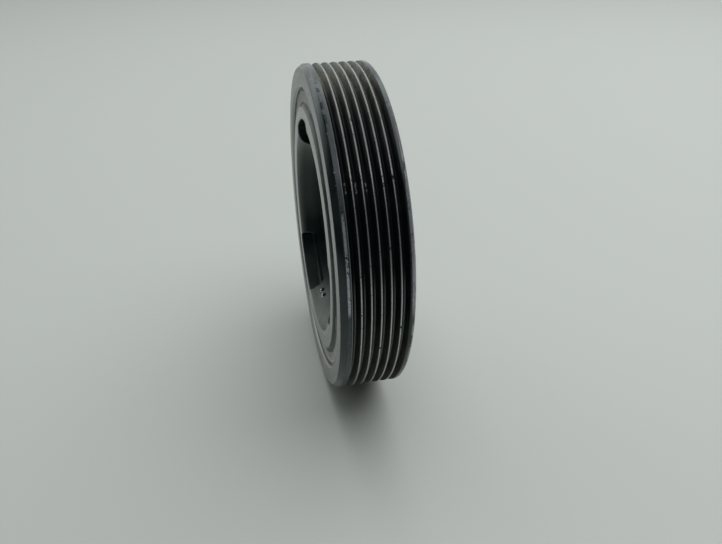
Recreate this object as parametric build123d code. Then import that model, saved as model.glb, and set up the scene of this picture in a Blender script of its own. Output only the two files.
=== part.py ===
from build123d import *

import os
from math import cos, radians, sin, tan

# A crankshaft harmonic balancer. The crankshaft axis is the row's Y axis, the dished front faces -Y,
# and Y = 0 is the middle of the belt track. Millimetres and degrees. Sections are drawn with
# x as the radius and y as the place along the axis, and are turned about the Y axis.

# Belt track of the inertia ring
groove_count = 6
groove_pitch = 3.56
groove_angle = 40.0
groove_depth = 3.0
crest_width = 0.75
crest_break = 0.15
crest_radius = 68.75

# Flanges and faces of the inertia ring
front_face = -14.5
back_face = 12.4
front_bevel_length = 2.1
front_bevel_depth = 1.6
back_bevel = 0.7
ring_inner_bevel = 1.0

# Elastomer ring
rubber_thickness = 7.0
rubber_front_recess = 0.9
rubber_back_recess = 0.9
rubber_hollow = 0.6
rubber_lip = 1.8

# Hub: outer bonding ring
hub_radius = 52.5
hub_bevel = 0.8
hub_back_recess = 1.0
hub_wall = 4.5
pocket_corner = 1.5

# Hub: dished web
face_width = 7.3
dish_depth = 11.5
dish_slope = 60.0
dish_shoulder = 6.3
dish_floor_corner = 5.0
web_thickness = 5.0

# Hub: boss and neck
bore_radius = 15.0
bore_bevel = 0.8
seat_radius = 20.0
seat_height = 1.5
seat_bevel = 0.8
neck_radius = 22.5
neck_projection = 6.0
neck_bevel = 1.0
neck_root_corner = 2.5
key_width = 5.0
key_depth = 2.3

# Hub: windows through the web. Each starts on a radius and ends on a slanted edge.
window_count = 3
window_rim = 5.5
window_width = 9.0
window_span = 38.5
window_slant = 27.5
window_corner = 3.0
first_window_angle = 90.0

# Hub: two drilled pits in the slope of the dish, past the second window's slanted end
pit_radius = 1.3
pit_depth = 1.0
pit_inset = 0.6
pit_angles = (258.0, 263.5)

ring_inner_radius = hub_radius + rubber_thickness
pocket_radius = hub_radius - hub_wall
face_inner_radius = hub_radius - face_width
window_outer_radius = hub_radius - window_rim
window_inner_radius = window_outer_radius - window_width
pit_place_radius = window_inner_radius + pit_inset
hub_back = back_face - hub_back_recess
neck_end = back_face + neck_projection
floor_front = front_face + dish_depth
floor_back = floor_front + web_thickness
seat_face = floor_front - seat_height


def turned(outline):
    """A solid turned about the Y axis from corners given as (radius, place along the axis, rounding)."""
    points = [(radius, place) for radius, place, rounding in outline]
    roundings = [rounding for radius, place, rounding in outline]
    section = make_face(FilletPolyline(*points, radius=roundings, close=True))
    return revolve(section, Axis.Y)


def groove_corners(middle):
    """The corners of one V groove of the belt track, with the sharp edges of its crests broken."""
    flank = tan(radians(groove_angle / 2))
    half_mouth = (groove_pitch - crest_width) / 2
    half_root = half_mouth - groove_depth * flank
    half_break = half_mouth - crest_break * flank
    root = crest_radius - groove_depth
    return [
        (crest_radius, middle - half_mouth - crest_break, 0),
        (crest_radius - crest_break, middle - half_break, 0),
        (root, middle - half_root, 0),
        (root, middle + half_root, 0),
        (crest_radius - crest_break, middle + half_break, 0),
        (crest_radius, middle + half_mouth + crest_break, 0),
    ]


def make_inertia_ring():
    track = []
    for n in range(groove_count):
        track += groove_corners((n - (groove_count - 1) / 2) * groove_pitch)
    return turned([
        (ring_inner_radius, front_face + ring_inner_bevel, 0),
        (ring_inner_radius + ring_inner_bevel, front_face, 0),
        (crest_radius - front_bevel_depth, front_face, 0),
        (crest_radius, front_face + front_bevel_length, 0),
        *track,
        (crest_radius, back_face - back_bevel, 0),
        (crest_radius - back_bevel, back_face, 0),
        (ring_inner_radius + ring_inner_bevel, back_face, 0),
        (ring_inner_radius, back_face - ring_inner_bevel, 0),
    ])


def make_rubber_ring():
    """The bonded ring: each face is hollow, with a lip of rubber up each wall."""
    front = front_face + rubber_front_recess
    back = back_face - rubber_back_recess
    return turned([
        (hub_radius, front, 0),
        (hub_radius + rubber_lip, front + rubber_hollow, 0),
        (ring_inner_radius - rubber_lip, front + rubber_hollow, 0),
        (ring_inner_radius, front, 0),
        (ring_inner_radius, back, 0),
        (ring_inner_radius - rubber_lip, back - rubber_hollow, 0),
        (hub_radius + rubber_lip, back - rubber_hollow, 0),
        (hub_radius, back, 0),
    ])


def make_hub_blank():
    """The turned form of the hub: bonding ring, dished web, seat for the bolt, bore and neck."""
    bend = tan(radians(dish_slope / 2))
    slope_run = dish_depth / tan(radians(dish_slope))
    shoulder = face_inner_radius - dish_shoulder * bend
    shoulder_back = shoulder + web_thickness * bend
    web_back = front_face + web_thickness
    room_behind = shoulder_back - slope_run - neck_radius - neck_root_corner
    return turned([
        (hub_radius, front_face + hub_bevel, 0),
        (hub_radius - hub_bevel, front_face, 0),
        (shoulder, front_face, dish_shoulder),
        (shoulder - slope_run, floor_front, dish_floor_corner),
        (seat_radius, floor_front, 0),
        (seat_radius, seat_face + seat_bevel, 0),
        (seat_radius - seat_bevel, seat_face, 0),
        (bore_radius + bore_bevel, seat_face, 0),
        (bore_radius, seat_face + bore_bevel, 0),
        (bore_radius, neck_end - bore_bevel, 0),
        (bore_radius + bore_bevel, neck_end, 0),
        (neck_radius - neck_bevel, neck_end, 0),
        (neck_radius, neck_end - neck_bevel, 0),
        (neck_radius, floor_back, neck_root_corner),
        (shoulder_back - slope_run, floor_back, min(dish_floor_corner + web_thickness, room_behind / bend)),
        (shoulder_back, web_back, 0),
        (pocket_radius - pocket_corner, web_back, 0),
        (pocket_radius, web_back + pocket_corner, 0),
        (pocket_radius, hub_back - hub_bevel, 0),
        (pocket_radius + hub_bevel, hub_back, 0),
        (hub_radius - hub_bevel, hub_back, 0),
        (hub_radius, hub_back - hub_bevel, 0),
    ])


def facing_front(angle):
    """A plane across the axis just ahead of the hub, looking at its front, its x at an angle."""
    return Plane(origin=(0, front_face - 1, 0), x_dir=(1, 0, 0), z_dir=(0, -1, 0)) * Rot(0, 0, angle)


def window_cutter(angle):
    """One window, as a block that runs through the web: a part of a ring between two straight ends."""
    far = 1.3 * window_outer_radius
    end = Vector(window_outer_radius, 0).rotate(Axis.Z, window_span)
    along_end = Vector(window_outer_radius, 0).rotate(Axis.Z, window_span - window_slant)
    sector = make_face(Polyline((0, 0), (far, 0), end + along_end * 0.3, end - along_end * 0.6, close=True))
    outline = (Circle(window_outer_radius) - Circle(window_inner_radius)) & sector
    outline = fillet(outline.vertices(), window_corner)
    return extrude(facing_front(angle) * outline, -(floor_back - front_face + 2))


def keyway_cutter(angle):
    """The keyway, a slot along the whole bore."""
    slot = Pos((bore_radius + key_depth) / 2, 0) * Rectangle(bore_radius + key_depth, key_width)
    return extrude(facing_front(angle) * slot, -(neck_end - front_face + 2))


def pit(angle):
    """The mark of a drill's point in the slope of the dish, square to the slope."""
    slope = radians(dish_slope)
    below_corner = (face_inner_radius - dish_shoulder * tan(slope / 2) - pit_place_radius) * tan(slope)
    place = Vector(pit_place_radius, front_face + below_corner, 0).rotate(Axis.Y, -angle)
    outward = Vector(-sin(slope), -cos(slope), 0).rotate(Axis.Y, -angle)
    return Plane(origin=place, z_dir=outward) * Cone(0, 2 * pit_radius, 2 * pit_depth)


def make_hub():
    hub = make_hub_blank()
    for n in range(window_count):
        hub -= window_cutter(first_window_angle + n * 360 / window_count)
    hub -= keyway_cutter(first_window_angle + window_span / 2 + 180 / window_count)
    for angle in pit_angles:
        hub -= pit(angle)
    return hub


os.makedirs("parts", exist_ok=True)
nodes = {
    "hub": make_hub(),
    "rubber_ring": make_rubber_ring(),
    "inertia_ring": make_inertia_ring(),
}
for name, solid in nodes.items():
    export_step(solid, f"parts/{name}.step")
    print(name, round(solid.volume), solid.bounding_box())
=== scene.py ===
import math
import random
from types import SimpleNamespace

import bmesh
import bpy
from mathutils import Matrix, Vector, noise


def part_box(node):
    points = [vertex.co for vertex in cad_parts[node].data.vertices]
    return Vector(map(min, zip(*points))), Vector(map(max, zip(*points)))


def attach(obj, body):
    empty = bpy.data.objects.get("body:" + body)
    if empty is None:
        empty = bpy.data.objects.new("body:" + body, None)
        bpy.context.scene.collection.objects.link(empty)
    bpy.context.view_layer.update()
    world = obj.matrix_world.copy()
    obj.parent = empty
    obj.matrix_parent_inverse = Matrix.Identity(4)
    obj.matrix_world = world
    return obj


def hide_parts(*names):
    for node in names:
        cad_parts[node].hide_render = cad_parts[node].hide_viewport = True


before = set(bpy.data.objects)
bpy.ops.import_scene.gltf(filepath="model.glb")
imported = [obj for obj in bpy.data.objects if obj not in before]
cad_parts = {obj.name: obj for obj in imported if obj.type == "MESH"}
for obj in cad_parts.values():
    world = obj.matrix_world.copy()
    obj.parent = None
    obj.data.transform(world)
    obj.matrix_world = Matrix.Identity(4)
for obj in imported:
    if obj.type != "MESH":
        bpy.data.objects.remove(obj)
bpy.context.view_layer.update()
print("frame loaded:", ", ".join(sorted(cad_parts)))

mm = 0.001
sharpAngle = 33.0
scene = bpy.context.scene
scene.view_settings.view_transform = "Standard"

# Each piece takes its overall sizes from its CAD node
ringLow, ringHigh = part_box("inertia_ring")
rubberLow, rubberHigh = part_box("rubber_ring")
hubLow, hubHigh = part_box("hub")
floorHeight = ringLow.z


# Turned pieces: a closed outline in the half plane x = radius, y = place along the axis

def closedOutline(bm, corners):
    verts = [bm.verts.new((radius, place, 0)) for radius, place in corners]
    for first, second in zip(verts, verts[1:] + verts[:1]):
        bm.edges.new((first, second))
    return verts


def roundCorners(bm, verts, radius, segments):
    bmesh.ops.bevel(
        bm, geom=verts, offset=radius, offset_type="OFFSET", segments=segments, profile=0.5,
        affect="VERTICES", clamp_overlap=True, material=-1,
    )


def spinRound(bm, steps, startAngle=0.0):
    turn = Matrix.Rotation(startAngle, 3, "Y")
    bmesh.ops.rotate(bm, verts=bm.verts[:], cent=(0, 0, 0), matrix=turn)
    bmesh.ops.spin(
        bm, geom=bm.verts[:] + bm.edges[:], cent=(0, 0, 0), axis=(0, 1, 0),
        angle=2 * math.pi, steps=steps, use_merge=True,
    )
    bmesh.ops.remove_doubles(bm, verts=bm.verts[:], dist=1e-7)
    bmesh.ops.recalc_face_normals(bm, faces=bm.faces[:])


def radiusOf(co):
    return math.hypot(co.x, co.z)


def angleOf(co):
    return math.degrees(math.atan2(co.z, co.x)) % 360


def newPiece(name, bm, material, slotName, *nodes):
    mesh = bpy.data.meshes.new(name)
    bm.to_mesh(mesh)
    bm.free()
    mesh.shade_smooth()
    mesh.set_sharp_from_angle(angle=math.radians(sharpAngle))
    mesh.materials.append(material)
    piece = bpy.data.objects.new(name, mesh)
    scene.collection.objects.link(piece)
    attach(piece, "root")
    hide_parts(*nodes)
    print(name, "made:", len(mesh.polygons), "faces")


# Material helpers: each returns the socket that the next node reads

def newMaterial(name):
    material = bpy.data.materials.new(name)
    material.use_nodes = True
    tree = material.node_tree
    shader = tree.nodes["Principled BSDF"]
    return material, tree, shader


def feed(tree, socket, value):
    if isinstance(value, bpy.types.NodeSocket):
        tree.links.new(value, socket)
    else:
        socket.default_value = value


def doMath(tree, operation, *values):
    node = tree.nodes.new("ShaderNodeMath")
    node.operation = operation
    for socket, value in zip(node.inputs, values):
        feed(tree, socket, value)
    return node.outputs[0]


def times(tree, product, *factors):
    for factor in factors:
        product = doMath(tree, "MULTIPLY", product, factor)
    return product


def largest(tree, most, *others):
    for other in others:
        most = doMath(tree, "MAXIMUM", most, other)
    return most


# Carries value from low..high to toLow..toHigh, with soft ends
def ramp(tree, value, low, high, toLow=0.0, toHigh=1.0):
    node = tree.nodes.new("ShaderNodeMapRange")
    node.interpolation_type = "SMOOTHSTEP"
    for name, number in (("From Min", low), ("From Max", high), ("To Min", toLow), ("To Max", toHigh)):
        feed(tree, node.inputs[name], number)
    feed(tree, node.inputs["Value"], value)
    return node.outputs["Result"]


# 1 up to low and 0 from high
def below(tree, value, low, high):
    return ramp(tree, value, low, high, 1.0, 0.0)


# 1 between low and high, with ends that are soft by that much each way
def band(tree, value, low, high, soft):
    rise = ramp(tree, value, low - soft, low + soft)
    return times(tree, rise, below(tree, value, high - soft, high + soft))


def mixColour(tree, factor, first, second, blend="MIX"):
    node = tree.nodes.new("ShaderNodeMix")
    node.data_type = "RGBA"
    node.blend_type = blend
    feed(tree, node.inputs["Factor"], factor)
    feed(tree, node.inputs[6], first)
    feed(tree, node.inputs[7], second)
    return node.outputs[2]


def mixNumber(tree, factor, first, second):
    node = tree.nodes.new("ShaderNodeMix")
    for socket, value in zip(node.inputs, (factor, None, first, second)):
        if value is not None:
            feed(tree, socket, value)
    return node.outputs[0]


def noiseAt(tree, vector, scale, detail=3.0, rough=0.55):
    node = tree.nodes.new("ShaderNodeTexNoise")
    node.inputs["Scale"].default_value = scale
    node.inputs["Detail"].default_value = detail
    node.inputs["Roughness"].default_value = rough
    tree.links.new(vector, node.inputs["Vector"])
    return node.outputs["Fac"]


def bump(tree, height, distance, strength=1.0, normal=None):
    node = tree.nodes.new("ShaderNodeBump")
    node.inputs["Distance"].default_value = distance
    node.inputs["Strength"].default_value = strength
    feed(tree, node.inputs["Height"], height)
    if normal is not None:
        tree.links.new(normal, node.inputs["Normal"])
    return node.outputs["Normal"]


# How far a radian round the axis moves the marks of the lathe: little, so that they run round the piece
alongTurn = 2 * mm


# The point, its radius, place and height, and a vector that follows the lathe
def turnedCoordinates(tree):
    point = tree.nodes.new("ShaderNodeTexCoord").outputs["Object"]
    parts = tree.nodes.new("ShaderNodeSeparateXYZ")
    tree.links.new(point, parts.inputs[0])
    x, y, z = parts.outputs
    radius = doMath(tree, "SQRT", doMath(tree, "ADD", times(tree, x, x), times(tree, z, z)))
    angle = doMath(tree, "ARCTAN2", z, x)
    joined = tree.nodes.new("ShaderNodeCombineXYZ")
    for socket, value in zip(joined.inputs, (radius, y, times(tree, angle, alongTurn))):
        tree.links.new(value, socket)
    return point, radius, y, z, joined.outputs[0]


# The camera and the floor

cameraSettings = {
    "place": (0.2316, -0.0438, 0.1263),
    "forward": (-0.8229, 0.1835, -0.5378),
    "lens": 30.08,
    "sensor": 36.0,
}


def placeCamera():
    data = bpy.data.cameras.new("camera")
    data.sensor_width = cameraSettings["sensor"]
    data.lens = cameraSettings["lens"]
    data.clip_start = 0.01
    data.clip_end = 20
    camera = bpy.data.objects.new("camera", data)
    scene.collection.objects.link(camera)
    camera.location = cameraSettings["place"]
    camera.rotation_euler = Vector(cameraSettings["forward"]).to_track_quat("-Z", "Y").to_euler()
    scene.camera = camera


floorSettings = {
    "halfWidth": 4.0,
    "colour": (0.56, 0.59, 0.56, 1),
    "roughness": 0.5,
}


def layFloor():
    bm = bmesh.new()
    bmesh.ops.create_grid(bm, x_segments=8, y_segments=8, size=floorSettings["halfWidth"])
    bmesh.ops.translate(bm, verts=bm.verts[:], vec=(0, 0, floorHeight))
    mesh = bpy.data.meshes.new("floor")
    bm.to_mesh(mesh)
    bm.free()
    floor = bpy.data.objects.new("floor", mesh)
    scene.collection.objects.link(floor)
    material, tree, shader = newMaterial("paleFloor")
    shader.inputs["Base Color"].default_value = floorSettings["colour"]
    shader.inputs["Roughness"].default_value = floorSettings["roughness"]
    mesh.materials.append(material)


lightSettings = {
    "ceilingPlace": (-0.3, 0.6, 1.1),
    "ceilingSize": 1.9,
    "ceilingPower": 16.5,
    "skyTint": (0.95, 1.0, 0.98, 1),
    "darkLevel": 0.05,
    "awayLevel": 0.8,
    "awayDirection": (-0.98, 0.15),
    "awayRise": (0.15, 0.65),
    "wallLevel": 1.0,
    "wallDirection": (-0.75, -0.66),
    "wallRise": (0.54, 0.82),
    "wallHeight": (0.38, 0.64),
    "wallSoftness": 0.08,
    "behindLevel": 0.12,
    "behindRise": (0.6, 0.9),
    "seenSky": (0.56, 0.60, 0.57, 1),
}


# How far a ray points in one level direction
def towards(tree, x, y, direction):
    return doMath(tree, "ADD", times(tree, x, direction[0]), times(tree, y, direction[1]))


def setLights():
    light = lightSettings
    data = bpy.data.lights.new("ceiling", "AREA")
    data.shape = "SQUARE"
    data.size = light["ceilingSize"]
    data.energy = light["ceilingPower"]
    lamp = bpy.data.objects.new("ceiling", data)
    scene.collection.objects.link(lamp)
    lamp.location = light["ceilingPlace"]

    # A room that is dim behind the camera, with a bright wall at the back left
    world = bpy.data.worlds.new("studio")
    scene.world = world
    world.use_nodes = True
    tree = world.node_tree
    background = tree.nodes["Background"]
    direction = tree.nodes.new("ShaderNodeTexCoord").outputs["Generated"]
    parts = tree.nodes.new("ShaderNodeSeparateXYZ")
    tree.links.new(direction, parts.inputs[0])
    x, y, z = parts.outputs
    away = towards(tree, x, y, light["awayDirection"])
    away = ramp(tree, away, *light["awayRise"], light["darkLevel"], light["awayLevel"])
    wall = towards(tree, x, y, light["wallDirection"])
    wall = times(tree, ramp(tree, wall, *light["wallRise"], 0.0, light["wallLevel"]),
                 band(tree, z, *light["wallHeight"], light["wallSoftness"]))
    behind = ramp(tree, x, *light["behindRise"], 0.0, light["behindLevel"])
    level = doMath(tree, "ADD", doMath(tree, "ADD", away, behind), wall)
    path = tree.nodes.new("ShaderNodeLightPath").outputs["Is Camera Ray"]
    sky = mixColour(tree, 1.0, light["skyTint"], level, "MULTIPLY")
    colour = mixColour(tree, path, sky, light["seenSky"])
    tree.links.new(colour, background.inputs["Color"])


placeCamera()
layFloor()
setLights()
print("camera, floor and lights set")


# The coated and machined iron of the inertia ring

ring = {
    "grooveCount": 6,
    "groovePitch": 3.56 * mm,
    "grooveAngle": 40.0,
    "grooveDepth": 3.0 * mm,
    "crestWidth": 0.75 * mm,
    "crestRound": 0.16 * mm,
    "rootRound": 0.2 * mm,
    "frontBevelLength": 2.1 * mm,
    "frontBevelDepth": 1.6 * mm,
    "backBevel": 0.7 * mm,
    "innerBevel": 1.0 * mm,
    "edgeRound": 0.25 * mm,
    "innerRadius": 59.5 * mm,
    "steps": 600,
    "coatDark": (0.005, 0.007, 0.008, 1),
    "coatPale": (0.012, 0.016, 0.017, 1),
    "coatGloss": (0.18, 0.28),
    # A tint on the coat's reflections: painted light for the colour of the room
    "coatPaintedRoomTint": (0.80, 0.96, 1.0, 1),
    "coatIor": 1.58,
    "crestBare": 0.36 * mm,
    # Lit and shaded copies of the crest metal by height round the axis: painted light lowest down, painted
    # shade near 45 degrees, which also darkens the lands high up
    "crestPaintedLightLow": (0.66, 0.66, 0.645, 1),
    "crestPaintedLightMid": (0.38, 0.38, 0.37, 1),
    "crestPaintedShadeHigh": (0.18, 0.18, 0.172, 1),
    "crestPaintedLightTop": (0.38, 0.38, 0.36, 1),
    "faceMetal": (0.42, 0.425, 0.42, 1),
    "faceDark": (0.33, 0.335, 0.335, 1),
    "landMetal": (0.52, 0.535, 0.56, 1),
    # Where dust, wear, painted light and painted shade begin or end, in degrees above the horizontal through
    # the axis
    "lowTo": (-24.0, 0.0),
    "highFrom": (40.0, 54.0),
    "topFrom": (56.0, 90.0),
    # Heights at which the crest metal turns to its next lit or shaded copy, as painted light and shade
    "crestPaintedLightTurns": ((6.0, 20.0), (41.0, 49.0), (72.0, 86.0)),
    "landWornTo": (28.0, 34.0),
    "backWorn": (0.0, 38.0),
    "markDegrees": (37.6, 41.0),
    "chipped": (42.0, 82.0),
    "chipShadowDegrees": (56.0, 78.0),
    "landShadeDegrees": (42.0, 74.0),
    "bottomsRubbedTo": (4.0, 16.0),
    "lowPaintedLightTo": (-26.0, 8.0),
    # How far, how strong and how dark
    "markPlaces": (-9.2 * mm, -1.6 * mm),
    "flankRubAndPaintedLight": 0.5,
    "bottomRub": 0.3,
    "lipRub": 0.45,
    "scuff": 0.6,
    "landWearAbove": 0.12,
    "landWearBelow": 0.06,
    # Groove dust, made paler high up and low down as painted light
    "topDustAndPaintedLight": (0.27, 0.268, 0.225, 1),
    "lowDustAndPaintedLight": (0.065, 0.062, 0.043, 1),
    # A paler coat low down: painted light
    "lowPaintedLight": (0.062, 0.068, 0.063, 1),
    "chipShadow": (0.001, 0.001, 0.001, 1),
    "grainDark": (0.1, 0.1, 0.1, 1),
    "metalRoughness": 0.42,
    "dustRoughness": 0.5,
    "shine": 0.5,
    "dullShine": 0.12,
    "nicks": 46,
    "nickSize": (0.5 * mm, 1.0 * mm),
    "nickDepth": (0.08 * mm, 0.32 * mm),
    "nickWander": 0.25 * mm,
    "nickedLandEdges": (-12.35 * mm, -10.35 * mm, 10.35 * mm, 11.65 * mm),
    "nickReach": 0.5 * mm,
    "handling": 0.008 * mm,
}


def ringOutline():
    crest = ringHigh.x
    flank = math.tan(math.radians(ring["grooveAngle"] / 2))
    halfMouth = (ring["groovePitch"] - ring["crestWidth"]) / 2
    halfRoot = halfMouth - ring["grooveDepth"] * flank
    root = crest - ring["grooveDepth"]
    front, back, inner = ringLow.y, ringHigh.y, ring["innerRadius"]
    edges = [
        (inner, front + ring["innerBevel"]),
        (inner + ring["innerBevel"], front),
        (crest - ring["frontBevelDepth"], front),
        (crest, front + ring["frontBevelLength"]),
    ]
    track = []
    for n in range(ring["grooveCount"]):
        middle = (n - (ring["grooveCount"] - 1) / 2) * ring["groovePitch"]
        track += [(crest, middle - halfMouth), (root, middle - halfRoot),
                  (root, middle + halfRoot), (crest, middle + halfMouth)]
    far = [
        (crest, back - ring["backBevel"]),
        (crest - ring["backBevel"], back),
        (inner + ring["innerBevel"], back),
        (inner, back - ring["innerBevel"]),
    ]
    return edges, track, far


# Where the ring's edges lie: crest, root, face and lead as radii, the others as places along the axis
def ringEdges():
    crest, front = ringHigh.x, ringLow.y
    trackLength = ring["grooveCount"] * ring["groovePitch"] - ring["crestWidth"]
    return SimpleNamespace(
        crest=crest,
        root=crest - ring["grooveDepth"],
        face=crest - ring["frontBevelDepth"],
        lead=ring["innerRadius"] + ring["innerBevel"] + 0.1 * mm,
        front=front,
        land=front + ring["frontBevelLength"],
        track=trackLength / 2 + 0.05 * mm,
        back=ringHigh.y,
    )


# What the parts of the ring's material share: coordinates, noises and the masks of the main zones
def ringZones(tree, edge):
    point, radius, place, height, along = turnedCoordinates(tree)
    # Degrees above the horizontal through the axis, the same on both sides, without a seam
    sine = doMath(tree, "DIVIDE", height, radius)
    degrees = times(tree, doMath(tree, "ARCSINE", sine), 180 / math.pi)
    speck = noiseAt(tree, point, 1100, 3)
    patch = noiseAt(tree, point, 160, 3)
    track = band(tree, place, -edge.track, edge.track, 0.08 * mm)
    fromCrest = doMath(tree, "FRACT", doMath(tree, "DIVIDE", place, ring["groovePitch"]))
    return SimpleNamespace(
        point=point,
        radius=radius,
        place=place,
        along=along,
        degrees=degrees,
        cloud=noiseAt(tree, point, 90),
        grain=noiseAt(tree, point, 1400, 4),
        speck=speck,
        patch=patch,
        mottle=mixNumber(tree, 0.5, speck, patch),
        track=track,
        groove=times(tree, below(tree, radius, edge.crest - 0.3 * mm, edge.crest - 0.05 * mm), track),
        frontSide=ramp(tree, fromCrest, 0.45, 0.55),
        frontLand=band(tree, place, edge.land, -edge.track, 0.05 * mm),
        backLand=ramp(tree, place, edge.track, edge.track + 0.1 * mm),
        high=ramp(tree, degrees, *ring["highFrom"]),
        top=ramp(tree, degrees, *ring["topFrom"]),
    )


def machinedFace(tree, zone, edge):
    face = times(tree, below(tree, zone.place, edge.front + 0.04 * mm, edge.front + 0.12 * mm),
                 below(tree, zone.radius, edge.face - 0.25 * mm, edge.face - 0.12 * mm))
    lead = times(tree, below(tree, zone.radius, edge.lead, edge.lead + 0.1 * mm),
                 below(tree, zone.place, edge.front + 0.9 * mm, edge.front + 1.0 * mm))
    return largest(tree, face, lead)


# The flat of each crest, bare but for small chips
def wornCrests(tree, zone, edge):
    fromCrest = doMath(tree, "PINGPONG", zone.place, ring["groovePitch"] / 2)
    half = ring["crestBare"] / 2
    flat = times(tree, ramp(tree, zone.radius, edge.crest - 0.05 * mm, edge.crest - 0.015 * mm),
                 below(tree, fromCrest, half - 0.05 * mm, half + 0.05 * mm))
    whole = ramp(tree, mixNumber(tree, 0.4, zone.speck, zone.patch), 0.36, 0.42)
    return times(tree, flat, zone.track, whole)


# A strip round the front land, and higher up faint stripes all over it
def wornFrontLand(tree, zone, edge):
    strip = band(tree, zone.place, edge.land + 0.5 * mm, edge.land + 1.4 * mm, 0.12 * mm)
    inner = band(tree, zone.place, edge.land + 1.4 * mm, -edge.track, 0.1 * mm)
    strip = times(tree, mixNumber(tree, inner, strip, 0.1), below(tree, zone.degrees, *ring["landWornTo"]),
                  ramp(tree, zone.degrees, 0.0, 4.5, ring["landWearBelow"], 1.0))
    lines = noiseAt(tree, zone.along, 2300, 3, 0.65)
    stripes = times(tree, band(tree, zone.place, edge.land + 0.3 * mm, -edge.track, 0.1 * mm),
                    ramp(tree, zone.degrees, *ring["landWornTo"]),
                    ramp(tree, lines, 0.40, 0.62, 0.1, ring["landWearAbove"]))
    return times(tree, largest(tree, strip, stripes), ramp(tree, zone.mottle, 0.38, 0.47))


# A strip at mid height on the back land, and scuffs on its outer edge all round
def wornBackLand(tree, zone, edge):
    strip = times(tree, band(tree, zone.place, edge.back - 1.5 * mm, edge.back - 0.15 * mm, 0.2 * mm),
                  band(tree, zone.degrees, *ring["backWorn"], 5.0),
                  ramp(tree, zone.mottle, 0.36, 0.48, 0.3, 0.8))
    blotch = doMath(tree, "ADD", zone.patch, times(tree, zone.speck, 0.35))
    scuff = times(tree, ramp(tree, zone.place, edge.back - 1.3 * mm, edge.back - 0.9 * mm),
                  ramp(tree, zone.radius, edge.crest - 0.9 * mm, edge.crest - 0.6 * mm),
                  ramp(tree, blotch, 0.62, 0.72, 0.0, ring["scuff"]))
    return largest(tree, strip, scuff)


# Chips along the edge between the bevel and the front land
def chippedEdge(tree, zone, edge):
    return times(tree, band(tree, zone.place, edge.land - 0.35 * mm, edge.land + 0.25 * mm, 0.15 * mm),
                 ramp(tree, zone.speck, 0.55, 0.60), ramp(tree, zone.patch, 0.46, 0.56),
                 band(tree, zone.degrees, *ring["chipped"], 6.0))


# A short patch of bare metal across the bottoms of the front grooves, at one height
def grooveBottomMark(tree, zone, edge):
    return times(tree, band(tree, zone.degrees, *ring["markDegrees"], 0.3),
                 below(tree, zone.radius, edge.root + 0.05 * mm, edge.root + 0.3 * mm),
                 band(tree, zone.place, *ring["markPlaces"], 0.05 * mm),
                 ramp(tree, zone.speck, 0.44, 0.54, 0.0, 0.7))


# The belt has worn the groove bottoms and the land's inner edge bare; the bare upper front flanks, only high
# up, are partly belt wear and partly painted light
def beltRub(tree, zone, edge):
    # Partly belt wear, partly painted light: bare upper front flanks high up
    flank = times(tree, ramp(tree, zone.radius, edge.crest - 2.2 * mm, edge.crest - 0.2 * mm), zone.high,
                  mixNumber(tree, zone.frontSide, 0.1, 1.0), zone.track,
                  ramp(tree, zone.patch, 0.35, 0.6, 0.4, 1.0), ring["flankRubAndPaintedLight"])
    bottom = times(tree, below(tree, zone.radius, edge.root + 0.05 * mm, edge.root + 0.15 * mm), zone.track,
                   ramp(tree, zone.degrees, *ring["bottomsRubbedTo"], ring["bottomRub"], 0.0))
    lip = times(tree, band(tree, zone.place, -edge.track - 0.17 * mm, 0.05 * mm - edge.track, 0.04 * mm),
                ramp(tree, zone.radius, edge.crest - 0.3 * mm, edge.crest - 0.2 * mm, 0.0, ring["lipRub"]))
    return largest(tree, flank, bottom, lip)


# Painted shadows of chips: black patches beside the front bevel
def paintedChipShadows(tree, zone, edge):
    return times(tree, band(tree, zone.place, edge.land - 0.3 * mm, edge.land + 0.9 * mm, 0.1 * mm),
                 band(tree, zone.degrees, *ring["chipShadowDegrees"], 4.0),
                 ramp(tree, noiseAt(tree, zone.point, 330, 3), 0.46, 0.51))


# The dark coat, with dust and painted light in the grooves at the top and low down, paler low down as
# painted light, and black painted chip shadows
def ringCoat(tree, zone, broken):
    flanks = mixNumber(tree, zone.frontSide, 0.3, 1.0)
    grooveDustAndLight = times(tree, zone.groove, largest(tree, zone.top, below(tree, zone.degrees, *ring["lowTo"])),
                  ramp(tree, zone.cloud, 0.3, 0.6, 0.35, 1.0), ramp(tree, zone.speck, 0.36, 0.54, 0.45, 1.0),
                  mixNumber(tree, ramp(tree, zone.degrees, 76.0, 90.0), flanks, 1.0))
    # Painted light: the coat turns paler low down
    lowPaintedLight = times(tree, ramp(tree, zone.degrees, *ring["lowPaintedLightTo"], 0.45, 0.0),
                 ramp(tree, zone.cloud, 0.3, 0.6, 0.6, 1.0))
    coat = mixColour(tree, ramp(tree, zone.cloud, 0.4, 0.7), ring["coatDark"], ring["coatPale"])
    coat = mixColour(tree, grooveDustAndLight, coat, mixColour(tree, zone.top, ring["lowDustAndPaintedLight"], ring["topDustAndPaintedLight"]))
    coat = mixColour(tree, lowPaintedLight, coat, ring["lowPaintedLight"])
    # Painted shadow: black where the chips' shadows fall
    return mixColour(tree, broken, coat, ring["chipShadow"])


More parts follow.
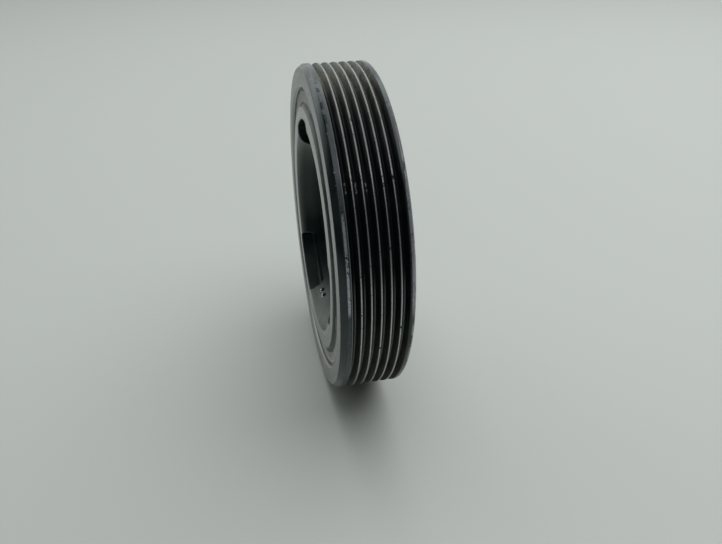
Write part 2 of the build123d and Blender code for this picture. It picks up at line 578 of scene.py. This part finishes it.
# Bare metal: the crest metal changes with height round the axis as painted light and shade, and the lands
# turn darker high up as painted shade
def ringMetal(tree, zone, face):
    lines = noiseAt(tree, zone.along, 1100, 4, 0.7)
    stain = ramp(tree, zone.patch, 0.5, 0.68, 0.0, 0.7)
    clean = doMath(tree, "SUBTRACT", ramp(tree, lines, 0.36, 0.64), stain)
    metal = ring["crestPaintedLightLow"]
    for turn, name in zip(ring["crestPaintedLightTurns"], ("crestPaintedLightMid", "crestPaintedShadeHigh", "crestPaintedLightTop")):
        metal = mixColour(tree, ramp(tree, zone.degrees, *turn), metal, ring[name])
    metal = mixColour(tree, face, metal, mixColour(tree, clean, ring["faceDark"], ring["faceMetal"]))
    metal = mixColour(tree, largest(tree, zone.frontLand, zone.backLand), metal,
                      mixColour(tree, zone.high, ring["landMetal"], ring["crestPaintedShadeHigh"]))
    return mixColour(tree, ramp(tree, zone.grain, 0.3, 0.7, 0.0, 0.3), metal, ring["grainDark"])


def ringMaterial():
    material, tree, shader = newMaterial("coatedRingIron")
    edge = ringEdges()
    zone = ringZones(tree, edge)
    face = machinedFace(tree, zone, edge)
    wear = (wornCrests, wornFrontLand, wornBackLand, chippedEdge, grooveBottomMark, beltRub)
    bare = largest(tree, face, *(worn(tree, zone, edge) for worn in wear))
    # broken is the mask of the painted chip shadows
    broken = paintedChipShadows(tree, zone, edge)
    colour = mixColour(tree, bare, ringCoat(tree, zone, broken), ringMetal(tree, zone, face))
    tree.links.new(colour, shader.inputs["Base Color"])
    tree.links.new(bare, shader.inputs["Metallic"])
    rough = ramp(tree, zone.cloud, 0.3, 0.7, *ring["coatGloss"])
    rough = mixNumber(tree, zone.groove, rough, ring["dustRoughness"])
    tree.links.new(mixNumber(tree, bare, rough, ring["metalRoughness"]), shader.inputs["Roughness"])
    # The shine is dull in the dusty grooves, and dimmed as painted shade on the chip shadows and on the
    # front land high up
    landReflectionShade = times(tree, zone.frontLand, band(tree, zone.degrees, *ring["landShadeDegrees"], 5.0), 0.5)
    dull = largest(tree, zone.groove, broken, landReflectionShade)
    shine = mixNumber(tree, dull, ring["shine"], ring["dullShine"])
    tree.links.new(shine, shader.inputs["Specular IOR Level"])
    shader.inputs["IOR"].default_value = ring["coatIor"]
    # Painted light: the coat's reflections are tinted to stand for the colour of the room's light
    tree.links.new(mixColour(tree, bare, ring["coatPaintedRoomTint"], (1, 1, 1, 1)), shader.inputs["Specular Tint"])
    marks = bump(tree, noiseAt(tree, zone.along, 2600, 2, 0.7), 0.012 * mm, 0.5)
    tree.links.new(bump(tree, zone.grain, 0.008 * mm, 0.5, marks), shader.inputs["Normal"])
    return material


# Small nicks in the crests and in the edges of the two lands
def dentEdges(bm):
    random.seed(5)
    crest = ringHigh.x
    crests = ring["grooveCount"] - 1
    edges = list(ring["nickedLandEdges"])
    edges += [(n - (crests - 1) / 2) * ring["groovePitch"] for n in range(crests)]
    outer = [v for v in bm.verts if radiusOf(v.co) > crest - ring["nickReach"]]
    wander = ring["nickWander"]
    spots = []
    for n in range(ring["nicks"]):
        spots.append((random.uniform(0, 2 * math.pi), random.choice(edges) + random.uniform(-wander, wander),
                      random.uniform(*ring["nickSize"]), random.uniform(*ring["nickDepth"])))
    for vert in outer:
        angle = math.atan2(vert.co.z, vert.co.x) % (2 * math.pi)
        sink = ring["handling"] * noise.noise(vert.co * 900)
        for spot, place, size, depth in spots:
            across = abs(vert.co.y - place)
            if across < size:
                apart = (angle - spot + math.pi) % (2 * math.pi) - math.pi
                reach = (across ** 2 + (apart * crest) ** 2) / size ** 2
                if reach < 1:
                    sink = max(sink, depth * (1 - reach))
        pull = 1 - sink / crest if sink > 0 else 1
        vert.co.x *= pull
        vert.co.z *= pull


def makeInertiaRing():
    bm = bmesh.new()
    edges, track, far = ringOutline()
    verts = closedOutline(bm, edges + track + far)
    trackVerts = verts[len(edges):-len(far)]
    halfDeep = ringHigh.x - ring["grooveDepth"] / 2
    crests = [v for v in trackVerts if v.co.x > halfDeep]
    roots = [v for v in trackVerts if v.co.x < halfDeep]
    roundCorners(bm, crests, ring["crestRound"], 3)
    roundCorners(bm, roots, ring["rootRound"], 2)
    roundCorners(bm, verts[:len(edges)] + verts[-len(far):], ring["edgeRound"], 3)
    spinRound(bm, ring["steps"])
    dentEdges(bm)
    newPiece("inertiaRing", bm, ringMaterial(), "ring_iron", "inertia_ring")


makeInertiaRing()


# The bonded rubber ring: hollow between its lips, with a split beside each wall

rubber = {
    "hollow": 0.6 * mm,
    "lip": 1.8 * mm,
    "splitInner": {"offset": 0.8 * mm, "width": 0.3 * mm, "depth": 0.35 * mm},
    "splitOuter": {"offset": 0.6 * mm, "width": 0.35 * mm, "depth": 0.35 * mm},
    "splitWander": 0.12 * mm,
    "unevenness": 0.07 * mm,
    "spacing": 0.22 * mm,
    "steps": 480,
    "startAngle": 0.2,
    "wallMargin": 0.05 * mm,
    # Painted shade for the splits
    "dark": (0.045, 0.046, 0.045, 1),
    "grey": (0.06, 0.063, 0.06, 1),
    "dust": (0.18, 0.185, 0.175, 1),
    "dustMiddle": 0.22,
    "dustCloud": 0.7,
    "dustGrit": 0.45,
    "backGrey": (0.03, 0.031, 0.03, 1),
    "backDust": 0.25,
    "sheen": 0.95,
    "sheenRoughness": 0.4,
}


# The corners across one hollow face, from the inner wall to the outer one
def rubberFace(inner, outer, place, inward):
    lip, hollow = rubber["lip"], rubber["hollow"] * inward
    count = round((outer - inner) / rubber["spacing"])
    corners = []
    for n in range(count + 1):
        radius = inner + (outer - inner) * n / count
        rise = min(1.0, (radius - inner) / lip, (outer - radius) / lip)
        corners.append((radius, place + hollow * rise))
    return corners


# How far the rubber lies below its moulded face
def wornRubber(co, inner, outer, sign):
    radius = radiusOf(co)
    angle = math.radians(angleOf(co))
    ringPoint = Vector((math.cos(angle), math.sin(angle), radius / (12 * mm)))
    # 1 where the inner split is open, 0 where it has closed
    broken = min(1.0, max(0.0, 2.2 * noise.noise(ringPoint * 3.1) + 0.75))
    sink = 0.0
    for split, middle, part in (
        (rubber["splitInner"], inner + rubber["splitInner"]["offset"], broken),
        (rubber["splitOuter"], outer - rubber["splitOuter"]["offset"], 1.0),
    ):
        wander = rubber["splitWander"] * noise.noise(ringPoint * 6.0)
        nearness = max(0.0, 1 - abs(radius - middle - wander) / split["width"])
        sink += split["depth"] * part * nearness
    sink += rubber["unevenness"] * noise.noise(co * 420)
    sink += 0.5 * rubber["unevenness"] * noise.noise(co * 1300)
    return sign * sink


def rubberMaterial():
    material, tree, shader = newMaterial("dustyRubber")
    point, radius, place = turnedCoordinates(tree)[:3]
    inner, outer = hubHigh.x, rubberHigh.x
    cloud = noiseAt(tree, point, 140)
    grit = noiseAt(tree, point, 1500, 4, 0.7)
    fine = noiseAt(tree, point, 5200, 2)
    middle = band(tree, radius, inner + 1.5 * mm, outer - 1.3 * mm, 0.4 * mm)
    lay = times(tree, middle, rubber["dustMiddle"])
    lay = doMath(tree, "ADD", lay, times(tree, cloud, rubber["dustCloud"]))
    lay = doMath(tree, "ADD", lay, times(tree, grit, rubber["dustGrit"]))
    toBack = ramp(tree, place, -1 * mm, 1 * mm)
    dust = times(tree, ramp(tree, lay, 0.5, 0.8), mixNumber(tree, toBack, 1.0, rubber["backDust"]))
    outerSplit, innerSplit = outer - rubber["splitOuter"]["offset"], inner + rubber["splitInner"]["offset"]
    # Painted shade: the rubber is darkened along its two splits
    split = band(tree, radius, outerSplit - 0.18 * mm, outerSplit + 0.18 * mm, 0.08 * mm)
    paintedCrackShade = times(tree, band(tree, radius, innerSplit - 0.2 * mm, innerSplit + 0.2 * mm, 0.12 * mm),
                  ramp(tree, noiseAt(tree, point, 60, 2), 0.42, 0.5))
    colour = mixColour(tree, toBack, rubber["grey"], rubber["backGrey"])
    colour = mixColour(tree, dust, colour, rubber["dust"])
    colour = mixColour(tree, largest(tree, split, paintedCrackShade), colour, rubber["dark"])
    tree.links.new(colour, shader.inputs["Base Color"])
    tree.links.new(ramp(tree, dust, 0.0, 1.0, 0.55, 0.9), shader.inputs["Roughness"])
    tree.links.new(times(tree, dust, rubber["sheen"]), shader.inputs["Sheen Weight"])
    shader.inputs["Sheen Roughness"].default_value = rubber["sheenRoughness"]
    low = bump(tree, grit, 0.06 * mm, 0.7)
    tree.links.new(bump(tree, fine, 0.02 * mm, 0.5, low), shader.inputs["Normal"])
    return material


def makeRubberRing():
    inner, outer = hubHigh.x, rubberHigh.x
    front, back = rubberLow.y, rubberHigh.y
    bm = bmesh.new()
    closedOutline(bm, rubberFace(inner, outer, front, 1) + rubberFace(inner, outer, back, -1)[::-1])
    spinRound(bm, rubber["steps"], math.radians(rubber["startAngle"]))
    for vert in bm.verts:
        if inner + rubber["wallMargin"] < radiusOf(vert.co) < outer - rubber["wallMargin"]:
            vert.co.y += wornRubber(vert.co, inner, outer, 1 if vert.co.y < 0 else -1)
    bmesh.ops.recalc_face_normals(bm, faces=bm.faces[:])
    newPiece("rubberRing", bm, rubberMaterial(), "bonded_rubber", "rubber_ring")


makeRubberRing()


# The hub: bonding ring, dished web with three windows, bolt seat, bore with keyway, and neck

hub = {
    "edgeBevel": 0.8 * mm,
    "backRecess": 1.0 * mm,
    "wall": 4.5 * mm,
    "pocketCorner": 1.5 * mm,
    "faceWidth": 7.3 * mm,
    "dishDepth": 11.5 * mm,
    "dishSlope": 60.0,
    "dishShoulder": 6.3 * mm,
    "dishCorner": 5.0 * mm,
    "webThickness": 5.0 * mm,
    "boreRadius": 15.0 * mm,
    "seatRadius": 20.0 * mm,
    "seatHeight": 1.5 * mm,
    "neckRadius": 22.5 * mm,
    "neckBevel": 1.0 * mm,
    "neckRoot": 2.5 * mm,
    "keyWidth": 5.0 * mm,
    "keyDepth": 2.3 * mm,
    "edgeRound": 0.25 * mm,
    "seatRootRound": 0.4 * mm,
    "seatRound": 0.8 * mm,
    "pocketRound": 0.6 * mm,
    "fineRounding": 2 * mm,
    "steps": 360,
    "startAngle": 0.37,
    "coatDark": (0.004, 0.005, 0.007, 1),
    "coatPale": (0.009, 0.011, 0.013, 1),
    "dust": (0.12, 0.125, 0.12, 1),
    "metalDark": (0.34, 0.345, 0.345, 1),
    "metalPale": (0.46, 0.465, 0.46, 1),
    "drillPaintedHighlight": (0.92, 0.97, 1.0, 1),
    "pitPaintedShade": (0.003, 0.004, 0.008, 1),
    "coatIor": 1.5,
    "coatPaintedRoomTint": (0.80, 1.0, 0.92, 1),
    "coatRoughness": (0.28, 0.4),
    "metalRoughness": 0.4,
    "shine": 0.5,
    "paintedShadeShine": 0.2,
    "leadMetal": 0.15,
    "brokenRim": (0.2, 0.42),
    "dustLean": (-0.95, -0.86),
    "dustRise": (2.2 * mm, 7.2 * mm),
    "windows": {
        "count": 3,
        "rim": 5.5 * mm,
        "width": 9.0 * mm,
        "span": 38.5,
        "slant": 27.5,
        "corner": 3.0 * mm,
        "firstAngle": 90.0,
        "brokenEdge": 0.32 * mm,
        "brokenSlope": 0.8,
        "cutterReach": 1.4,
        "cornerSteps": 8,
        "arcSteps": 22,
        "lineSteps": 8,
    },
    "pits": {
        "radius": 1.3 * mm,
        "depth": 1.0 * mm,
        "inset": 0.6 * mm,
        "angles": (258.0, 263.5),
    },
}


def hubSizes():
    slope = math.radians(hub["dishSlope"])
    bend = math.tan(slope / 2)
    front, neckEnd, outer = hubLow.y, hubHigh.y, hubHigh.x
    sizes = {
        "slope": slope,
        "front": front,
        "neckEnd": neckEnd,
        "outer": outer,
        "back": ringHigh.y - hub["backRecess"],
        "pocket": outer - hub["wall"],
        "faceInner": outer - hub["faceWidth"],
        "floorFront": front + hub["dishDepth"],
        "floorBack": front + hub["dishDepth"] + hub["webThickness"],
        "webBack": front + hub["webThickness"],
        "slopeRun": hub["dishDepth"] / math.tan(slope),
    }
    sizes["shoulder"] = sizes["faceInner"] - hub["dishShoulder"] * bend
    sizes["shoulderBack"] = sizes["shoulder"] + hub["webThickness"] * bend
    sizes["seatFace"] = sizes["floorFront"] - hub["seatHeight"]
    sizes["windowOuter"] = outer - hub["windows"]["rim"]
    sizes["windowInner"] = sizes["windowOuter"] - hub["windows"]["width"]
    sizes["pitMiddle"] = sizes["windowInner"] + hub["pits"]["inset"]
    return sizes


# Corners as (radius, place along the axis, rounding)
def hubOutline(s):
    small, inPocket = hub["edgeRound"], hub["pocketRound"]
    bevel = hub["edgeBevel"]
    backCorner = min(
        hub["dishCorner"] + hub["webThickness"],
        (s["shoulderBack"] - s["slopeRun"] - hub["neckRadius"] - hub["neckRoot"]) / math.tan(s["slope"] / 2),
    )
    return [
        (s["outer"], s["front"] + bevel, small),
        (s["outer"] - bevel, s["front"], small),
        (s["shoulder"], s["front"], hub["dishShoulder"]),
        (s["shoulder"] - s["slopeRun"], s["floorFront"], hub["dishCorner"]),
        (hub["seatRadius"], s["floorFront"], hub["seatRootRound"]),
        (hub["seatRadius"], s["seatFace"], hub["seatRound"]),
        (hub["boreRadius"] + bevel, s["seatFace"], small),
        (hub["boreRadius"], s["seatFace"] + bevel, small),
        (hub["boreRadius"], s["neckEnd"] - bevel, small),
        (hub["boreRadius"] + bevel, s["neckEnd"], small),
        (hub["neckRadius"] - hub["neckBevel"], s["neckEnd"], small),
        (hub["neckRadius"], s["neckEnd"] - hub["neckBevel"], small),
        (hub["neckRadius"], s["floorBack"], hub["neckRoot"]),
        (s["shoulderBack"] - s["slopeRun"], s["floorBack"], backCorner),
        (s["shoulderBack"], s["webBack"], inPocket),
        (s["pocket"] - hub["pocketCorner"], s["webBack"], inPocket),
        (s["pocket"], s["webBack"] + hub["pocketCorner"], inPocket),
        (s["pocket"], s["back"] - bevel, small),
        (s["pocket"] + bevel, s["back"], small),
        (s["outer"] - bevel, s["back"], small),
        (s["outer"], s["back"] - bevel, small),
    ]


# Where the front of the web lies along the axis at one radius
def dishPlace(s, radius):
    run = s["faceInner"] - radius
    if run <= 0:
        return s["front"]
    shoulder = hub["dishShoulder"]
    curveRun = shoulder * math.sin(s["slope"])
    if run <= curveRun:
        return s["front"] + shoulder - math.sqrt(shoulder ** 2 - run ** 2)
    depth = shoulder * (1 - math.cos(s["slope"])) + (run - curveRun) * math.tan(s["slope"])
    return s["front"] + min(depth, hub["dishDepth"])


def turnedBy(x, z, angle):
    return (x * math.cos(angle) - z * math.sin(angle), x * math.sin(angle) + z * math.cos(angle))


# One window that starts at angle 0: points across the axis, each with its outward direction
def windowOutline(s):
    outer, inner = s["windowOuter"], s["windowInner"]
    corner = hub["windows"]["corner"]
    span = math.radians(hub["windows"]["span"])
    lean = math.radians(hub["windows"]["span"] - hub["windows"]["slant"])
    end = Vector((outer * math.cos(span), outer * math.sin(span)))
    run = Vector((math.cos(lean), math.sin(lean)))
    inside = Vector((math.sin(lean), -math.cos(lean)))
    base = end + inside * corner

    def along(reach):
        half = base.dot(run)
        return base + run * (-half + math.sqrt(half ** 2 - base.length_squared + reach ** 2))

    centres = [
        Vector((math.sqrt((outer - corner) ** 2 - corner ** 2), corner)),
        along(outer - corner),
        along(inner + corner),
        Vector((math.sqrt((inner + corner) ** 2 - corner ** 2), corner)),
    ]
    angleAt = [math.atan2(c.y, c.x) for c in centres]
    turns = [
        (-math.pi / 2, angleAt[0]),
        (angleAt[1], lean + math.pi / 2),
        (lean + math.pi / 2, angleAt[2] + math.pi),
        (angleAt[3] + math.pi, 3 * math.pi / 2),
    ]
    points = []

    def addCorner(centre, start, stop):
        count = hub["windows"]["cornerSteps"]
        for n in range(count + 1):
            turn = start + (stop - start) * n / count
            out = Vector((math.cos(turn), math.sin(turn)))
            points.append((centre + out * corner, out))

    def addArc(radius, start, stop, sign):
        count = hub["windows"]["arcSteps"]
        for n in range(1, count):
            turn = start + (stop - start) * n / count
            out = Vector((math.cos(turn), math.sin(turn)))
            points.append((out * radius, out * sign))

    def addLine(start, stop, out):
        count = hub["windows"]["lineSteps"]
        for n in range(1, count):
            points.append((start.lerp(stop, n / count), out))

    addCorner(centres[0], *turns[0])
    addArc(outer, angleAt[0], angleAt[1], 1)
    addCorner(centres[1], *turns[1])
    addLine(points[-1][0], centres[2] - inside * corner, -inside)
    addCorner(centres[2], *turns[2])
    addArc(inner, angleAt[2], angleAt[3], -1)
    addCorner(centres[3], *turns[3])
    addLine(points[-1][0], points[0][0], Vector((0, -1)))
    return points


# A block through the web whose top flares where it meets the dish, so the rim is broken
def addWindowCutter(bm, s, angle):
    gap, reach = hub["windows"]["brokenEdge"], hub["windows"]["cutterReach"]
    rings = [[], [], [], []]
    for point, out in windowOutline(s):
        flared = point + out * gap
        surface = dishPlace(s, flared.length)
        low = max(surface, dishPlace(s, point.length)) + hub["windows"]["brokenSlope"] * gap
        top = point + (flared - point) * reach
        topPlace = low + (surface - low) * reach
        for n, (across, place) in enumerate((
            (point, s["floorBack"] + 1 * mm), (point, low), (top, topPlace), (top, s["front"] - 1 * mm),
        )):
            x, z = turnedBy(across.x, across.y, angle)
            rings[n].append(bm.verts.new((x, place, z)))
    count = len(rings[0])
    for low, high in zip(rings, rings[1:]):
        for n in range(count):
            m = (n + 1) % count
            bm.faces.new((low[n], low[m], high[m], high[n]))
    bm.faces.new(rings[0])
    bm.faces.new(rings[-1])


def addKeyCutter(bm, s, angle):
    reach = hub["boreRadius"] + hub["keyDepth"]
    made = bmesh.ops.create_cube(bm, size=1.0)["verts"]
    for vert in made:
        x, z = turnedBy(reach * (vert.co.x + 0.5), hub["keyWidth"] * vert.co.z, angle)
        place = s["seatFace"] - 2 * mm if vert.co.y < 0 else s["neckEnd"] + 2 * mm
        vert.co = (x, place, z)


# The middle of one pit, on the slope of the dish
def pitPlace(s, angle):
    radius = s["pitMiddle"]
    x, z = turnedBy(radius, 0, angle)
    return Vector((x, s["front"] + (s["shoulder"] - radius) * math.tan(s["slope"]), z))


def addPitCutter(bm, s, angle):
    slope = s["slope"]
    outX, outZ = turnedBy(-math.sin(slope), 0, angle)
    turn = Vector((outX, -math.cos(slope), outZ)).to_track_quat("Z", "Y").to_matrix().to_4x4()
    bmesh.ops.create_cone(
        bm, cap_ends=True, segments=40, radius1=0, radius2=2 * hub["pits"]["radius"],
        depth=2 * hub["pits"]["depth"], matrix=Matrix.Translation(pitPlace(s, angle)) @ turn,
    )


# Returns bm with every cutter taken out of it
def cutAway(bm, cutters):
    mesh = bpy.data.meshes.new("blank")
    bm.to_mesh(mesh)
    bm.free()
    blank = bpy.data.objects.new("blank", mesh)
    scene.collection.objects.link(blank)
    tools = []
    for cutter in cutters:
        bmesh.ops.recalc_face_normals(cutter, faces=cutter.faces[:])
        toolMesh = bpy.data.meshes.new("cutter")
        cutter.to_mesh(toolMesh)
        cutter.free()
        tool = bpy.data.objects.new("cutter", toolMesh)
        scene.collection.objects.link(tool)
        cut = blank.modifiers.new("cut", "BOOLEAN")
        cut.operation = "DIFFERENCE"
        cut.solver = "EXACT"
        cut.object = tool
        tools.append(tool)
    bpy.context.view_layer.update()
    result = bpy.data.meshes.new_from_object(blank.evaluated_get(bpy.context.evaluated_depsgraph_get()))
    cutBm = bmesh.new()
    cutBm.from_mesh(result)
    for thing in tools + [blank]:
        data = thing.data
        bpy.data.objects.remove(thing)
        bpy.data.meshes.remove(data)
    bpy.data.meshes.remove(result)
    return cutBm


# The bare rim of each drill mark, lit on its outer side as a painted highlight, and the marks' bottoms
# darkened as painted shade
def pitMasks(tree, s, point, radius):
    apart = 1.0
    for angle in hub["pits"]["angles"]:
        node = tree.nodes.new("ShaderNodeVectorMath")
        node.operation = "DISTANCE"
        tree.links.new(point, node.inputs[0])
        node.inputs[1].default_value = pitPlace(s, math.radians(angle))
        apart = doMath(tree, "MINIMUM", apart, node.outputs["Value"])
    size, middle = hub["pits"]["radius"], s["pitMiddle"]
    pitRimAndHighlight = times(tree, band(tree, apart, size - 0.22 * mm, size + 0.08 * mm, 0.07 * mm),
                    ramp(tree, radius, middle - 0.2 * mm, middle + 0.5 * mm, 0.05, 0.9))
    return pitRimAndHighlight, below(tree, apart, size - 0.34 * mm, size - 0.22 * mm)


# The machined front face, the bolt seat and bore, the neck, and faintly the lead into the rubber
def machinedHub(tree, s, radius, place):
    face = below(tree, place, s["front"] + 0.03 * mm, s["front"] + 0.1 * mm)
    seat = below(tree, radius, hub["seatRadius"], hub["seatRadius"] + 0.2 * mm)
    neck = times(tree, below(tree, radius, hub["neckRadius"] + 0.3 * mm, hub["neckRadius"] + 0.6 * mm),
                 ramp(tree, place, s["floorBack"] + 2 * mm, s["floorBack"] + 2.4 * mm))
    lead = times(tree, ramp(tree, radius, s["outer"] - 1 * mm, s["outer"] - 0.9 * mm),
                 below(tree, place, s["front"] + 0.7 * mm, s["front"] + 0.8 * mm), hub["leadMetal"])
    return largest(tree, face, seat, neck, lead)


# Dust settled on the part of the dish that faces up as the part stands
def settledDust(tree, s, radius, place, height, cloud, cut):
    lean = doMath(tree, "ADD", doMath(tree, "DIVIDE", height, radius), times(tree, cloud, 0.08))
    slopeFoot = s["shoulder"] - s["slopeRun"]
    return times(tree, below(tree, lean, *hub["dustLean"]), below(tree, cut, 0.15, 0.3),
                 ramp(tree, radius, *(slopeFoot + rise for rise in hub["dustRise"])),
                 ramp(tree, cloud, 0.25, 0.6, 0.55, 1.0),
                 below(tree, place, s["floorFront"], s["floorFront"] + 0.5 * mm))


def hubMaterial(s):
    material, tree, shader = newMaterial("machinedAndCoatedIron")
    point, radius, place, height, along = turnedCoordinates(tree)
    cloud = noiseAt(tree, point, 110)
    grain = noiseAt(tree, point, 1300, 4)
    lathe = noiseAt(tree, along, 3000, 2, 0.7)
    speck = noiseAt(tree, point, 900, 3)
    bands = noiseAt(tree, along, 1000, 4, 0.7)
    cutDepth = tree.nodes.new("ShaderNodeAttribute")
    cutDepth.attribute_name = "cutDepth"
    cut = cutDepth.outputs["Fac"]
    pitRimAndHighlight, pitShade = pitMasks(tree, s, point, radius)
    rim = times(tree, band(tree, cut, *hub["brokenRim"], 0.05), ramp(tree, speck, 0.36, 0.5, 0.05, 0.35))
    bare = largest(tree, machinedHub(tree, s, radius, place), rim, pitRimAndHighlight)

    settled = settledDust(tree, s, radius, place, height, cloud, cut)
    coat = mixColour(tree, ramp(tree, cloud, 0.38, 0.68), hub["coatDark"], hub["coatPale"])
    coat = mixColour(tree, times(tree, settled, below(tree, pitShade, 0.0, 1.0)), coat, hub["dust"])
    # Painted shade in the bottoms of the pits
    coat = mixColour(tree, pitShade, coat, hub["pitPaintedShade"])
    lines = ramp(tree, mixNumber(tree, 0.5, lathe, bands), 0.38, 0.62)
    metal = mixColour(tree, lines, hub["metalDark"], hub["metalPale"])
    # Painted highlight: the pits' outer rims turn near white
    metal = mixColour(tree, pitRimAndHighlight, metal, hub["drillPaintedHighlight"])
    tree.links.new(mixColour(tree, bare, coat, metal), shader.inputs["Base Color"])
    tree.links.new(bare, shader.inputs["Metallic"])
    rough = ramp(tree, cloud, 0.3, 0.7, *hub["coatRoughness"])
    tree.links.new(mixNumber(tree, bare, rough, hub["metalRoughness"]), shader.inputs["Roughness"])
    shader.inputs["IOR"].default_value = hub["coatIor"]
    # Painted light: the coat's reflections are tinted to stand for the colour of the room's light
    tree.links.new(mixColour(tree, bare, hub["coatPaintedRoomTint"], (1, 1, 1, 1)), shader.inputs["Specular Tint"])
    # Painted shade: the shine is dimmed deep in the dish and in the pits
    paintedDishShade = ramp(tree, place, s["front"] + 5 * mm, s["floorFront"] - 1 * mm)
    shine = mixNumber(tree, largest(tree, paintedDishShade, pitShade), hub["shine"], hub["paintedShadeShine"])
    tree.links.new(shine, shader.inputs["Specular IOR Level"])
    turned = bump(tree, lathe, 0.01 * mm, 0.6)
    tree.links.new(bump(tree, grain, 0.012 * mm, 0.5, turned), shader.inputs["Normal"])
    return material


def makeHub():
    s = hubSizes()
    bm = bmesh.new()
    corners = hubOutline(s)
    verts = closedOutline(bm, [(radius, place) for radius, place, rounding in corners])
    places = [Vector((radius, place)) for radius, place, rounding in corners]
    for n, vert in enumerate(verts):
        before = (places[n] - places[n - 1]).normalized()
        after = (places[(n + 1) % len(places)] - places[n]).normalized()
        turn = before.angle(after)
        rounding = corners[n][2]
        segments = 10 if rounding > hub["fineRounding"] else 3
        roundCorners(bm, [vert], rounding * math.tan(turn / 2), segments)
    spinRound(bm, hub["steps"], math.radians(hub["startAngle"]))

    first = math.radians(hub["windows"]["firstAngle"])
    through = bmesh.new()
    for n in range(hub["windows"]["count"]):
        addWindowCutter(through, s, first + n * 2 * math.pi / hub["windows"]["count"])
    keyAngle = first + math.radians(hub["windows"]["span"]) / 2 + math.pi / hub["windows"]["count"]
    addKeyCutter(through, s, keyAngle)
    cutters = [through]
    for angle in hub["pits"]["angles"]:
        cutter = bmesh.new()
        addPitCutter(cutter, s, math.radians(angle))
        cutters.append(cutter)
    bm = cutAway(bm, cutters)

    # How far each point lies below the front of the web, in millimetres
    depthLayer = bm.verts.layers.float.new("cutDepth")
    for vert in bm.verts:
        depth = (vert.co.y - dishPlace(s, radiusOf(vert.co))) / mm
        vert[depthLayer] = max(0.0, depth)
    newPiece("balancerHub", bm, hubMaterial(s), "hub_iron", "hub")


makeHub()
